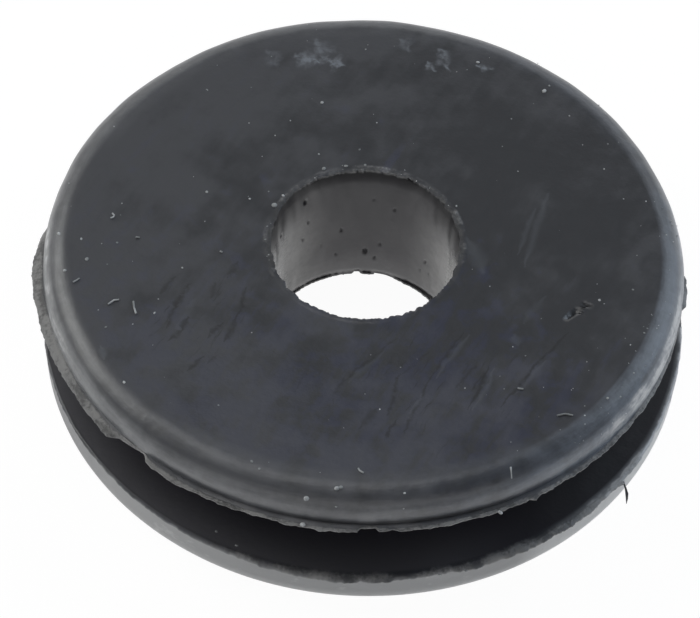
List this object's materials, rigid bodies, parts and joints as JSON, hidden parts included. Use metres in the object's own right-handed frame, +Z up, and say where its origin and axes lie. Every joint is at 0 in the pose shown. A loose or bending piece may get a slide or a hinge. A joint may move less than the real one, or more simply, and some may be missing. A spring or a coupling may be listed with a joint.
{
  "type": "rubber grommet",
  "caption": "Round moulded rubber grommet with two flanges, a panel groove between them and a plain cable bore; thin mould flash along both rims.",
  "frame": {"origin": "centre of the cable bore at the lower flange's outer face, which the grommet rests on", "axes": "+Z up the bore's axis, from the lower flange to the upper flange; -Y is the side that faces the viewer"},
  "size_m": [0.0257, 0.0256, 0.0065],
  "materials": {
    "rubber": "satin moulded rubber, cool dark grey"
  },
  "bodies": {
    "root": {"grommet": "rubber"}
  },
  "joints": []
}
